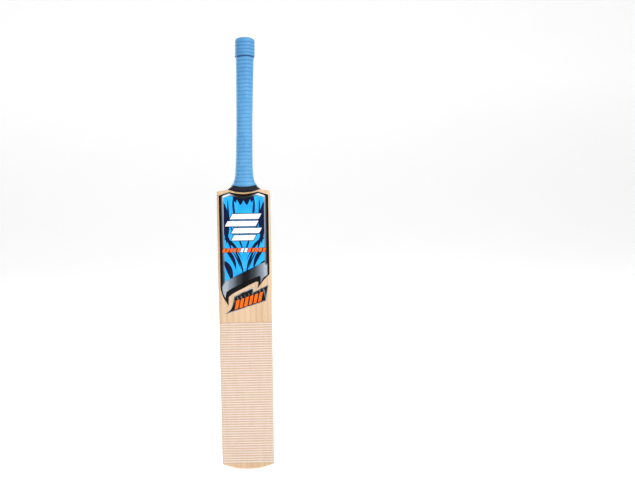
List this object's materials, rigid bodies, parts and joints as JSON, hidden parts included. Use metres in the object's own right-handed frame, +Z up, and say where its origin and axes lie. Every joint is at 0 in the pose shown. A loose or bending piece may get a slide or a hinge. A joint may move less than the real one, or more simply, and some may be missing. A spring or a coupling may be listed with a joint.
{
  "type": "cricket bat",
  "caption": "Full-size short-handle cricket bat: bowed blade with a ridged back, spliced cane handle, ribbed rubber grip, fibre face tape and printed labels.",
  "frame": {"origin": "lowest point of the toe's level, in the middle of the bat's bounding box", "axes": "+Z up the bat from toe to handle, striking face toward -Y, ridge of the back toward +Y, X across the width"},
  "size_m": [0.108, 0.0726, 0.8599],
  "materials": {
    "willow": "satin",
    "cane": "matte",
    "spring_rubber": "matte",
    "twine": "matte",
    "grip_rubber": "satin",
    "band_cloth": "satin",
    "fibre_tape": "gloss",
    "label_dark": "gloss",
    "label_blue": "gloss",
    "label_grey": "gloss"
  },
  "bodies": {
    "root": {"blade": "willow", "cane_slat_01": "cane", "cane_slat_02": "cane", "cane_slat_03": "cane", "cane_slat_04": "cane", "cane_slat_05": "cane", "cane_slat_06": "cane", "cane_slat_07": "cane", "cane_slat_08": "cane", "cane_slat_09": "cane", "cane_slat_10": "cane", "cane_slat_11": "cane", "cane_slat_12": "cane", "rubber_spring_1": "spring_rubber", "rubber_spring_2": "spring_rubber", "rubber_spring_3": "spring_rubber", "binding_twine": "twine", "grip": "grip_rubber", "grip_collar": "grip_rubber", "shoulder_band": "band_cloth", "face_tape": "fibre_tape", "face_label": "label_dark", "face_label_lower": "label_dark", "back_label": "label_dark", "back_flame_right": "label_blue", "back_flame_left": "label_blue", "back_toe_label": "label_grey", "edge_label_right": "label_blue", "edge_label_left": "label_blue"}
  },
  "joints": []
}
